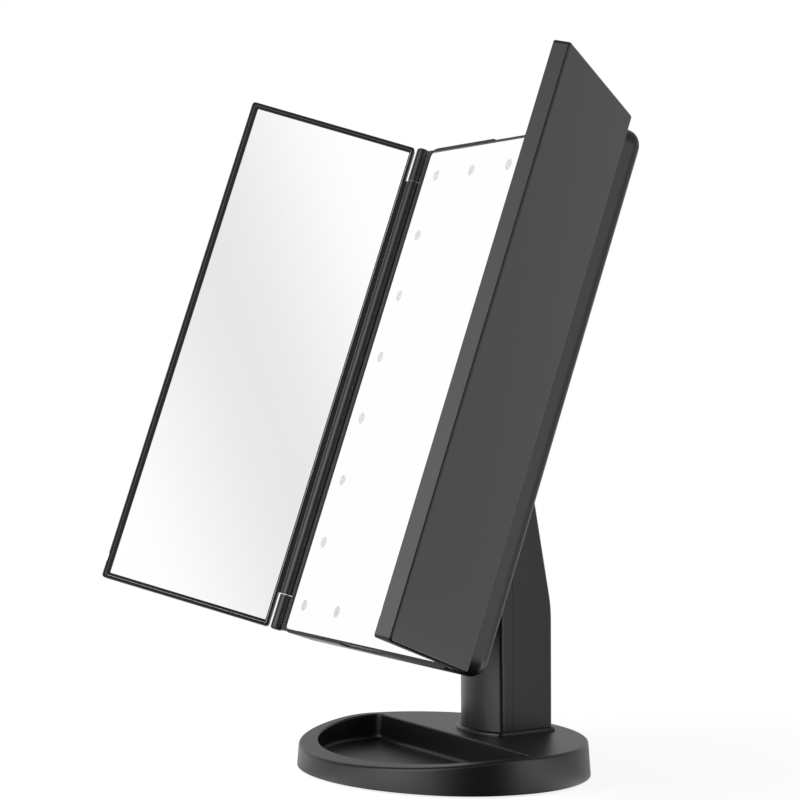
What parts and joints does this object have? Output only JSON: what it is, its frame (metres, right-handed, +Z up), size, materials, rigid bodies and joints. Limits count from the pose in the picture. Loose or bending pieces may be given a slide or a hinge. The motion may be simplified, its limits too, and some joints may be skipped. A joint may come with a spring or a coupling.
{
  "type": "led makeup mirror",
  "caption": "Tri-fold table mirror with a lit centre glass between two hinged wings, tilting on a bent post over an oval base with a tray.",
  "frame": {"origin": "on the table, under the middle of the oval base", "axes": "+Z up; the mirror faces -Y, and +X is to the right of someone who looks into it"},
  "size_m": [0.2772, 0.1706, 0.3029],
  "materials": {
    "satin_black_abs": "satin moulded",
    "matte_black_abs": "matte moulded",
    "black_rubber": "matte",
    "zinc_plated_steel": "plated",
    "black_screw_steel": "blackened",
    "nickel_plate": "plated",
    "green_circuit_board": "solder mask",
    "white_circuit_board": "solder mask",
    "cell_jacket": "printed sleeve",
    "silvered_glass": "polished",
    "frosted_glass": "frosted",
    "led_resin": "clear resin over phosphor",
    "copper_foil": "bare",
    "white_nylon": "natural",
    "grey_felt": "felt"
  },
  "bodies": {
    "stand": {"base_shell": "satin_black_abs", "base_plate": "matte_black_abs", "base_screws": "zinc_plated_steel", "foot_ring": "black_rubber", "ballast_plate": "zinc_plated_steel", "power_board": "green_circuit_board", "usb_socket": "nickel_plate", "switch_case": "matte_black_abs", "post_front_shell": "satin_black_abs", "post_rear_shell": "satin_black_abs", "post_screws": "zinc_plated_steel", "battery_holder": "matte_black_abs", "battery_contacts": "nickel_plate", "battery_cells": "cell_jacket"},
    "main_switch": {"switch_slider": "matte_black_abs"},
    "door": {"battery_door": "satin_black_abs"},
    "panel": {"main_frame": "satin_black_abs", "main_mirror": "silvered_glass", "led_windows": "frosted_glass", "led_board": "white_circuit_board", "leds": "led_resin", "touch_pad": "copper_foil", "control_board": "green_circuit_board", "rear_housing": "satin_black_abs", "housing_screws": "black_screw_steel", "tilt_axle": "zinc_plated_steel", "tilt_nut": "zinc_plated_steel", "friction_washers": "white_nylon", "axle_caps": "satin_black_abs", "right_hinge_pins": "zinc_plated_steel", "left_hinge_pins": "zinc_plated_steel"},
    "left_wing": {"left_wing_shell": "satin_black_abs", "left_wing_bezel": "satin_black_abs", "left_mirror": "silvered_glass", "left_mirror_pad": "grey_felt"},
    "right_wing": {"right_wing_shell": "satin_black_abs", "right_wing_bezel": "satin_black_abs", "lower_magnifier": "silvered_glass", "upper_magnifier": "silvered_glass", "right_mirror_pad": "grey_felt"}
  },
  "joints": [
    {"name": "panel_tilt", "type": "hinge", "parent": "stand", "child": "panel", "pos_m": [0, 0.02278, 0.14927], "axis": [-1, 0, 0], "range_deg": [-19, 71]},
    {"name": "left_wing_fold", "type": "hinge", "parent": "panel", "child": "left_wing", "pos_m": [-0.0854, -0.00209, 0.16735], "axis": [0, 0.3256, 0.9455], "range_deg": [-60, 120]},
    {"name": "right_wing_fold", "type": "hinge", "parent": "panel", "child": "right_wing", "pos_m": [0.0854, -0.00209, 0.16735], "axis": [0, -0.3256, -0.9455], "range_deg": [-52, 128]},
    {"name": "battery_door_swing", "type": "hinge", "parent": "stand", "child": "door", "pos_m": [0, 0.0477, 0.0222], "axis": [-1, 0, 0], "range_deg": [0, 90]},
    {"name": "main_switch_slide", "type": "slide", "parent": "stand", "child": "main_switch", "axis": [1, 0, 0], "range_m": [0, 0.003]}
  ]
}
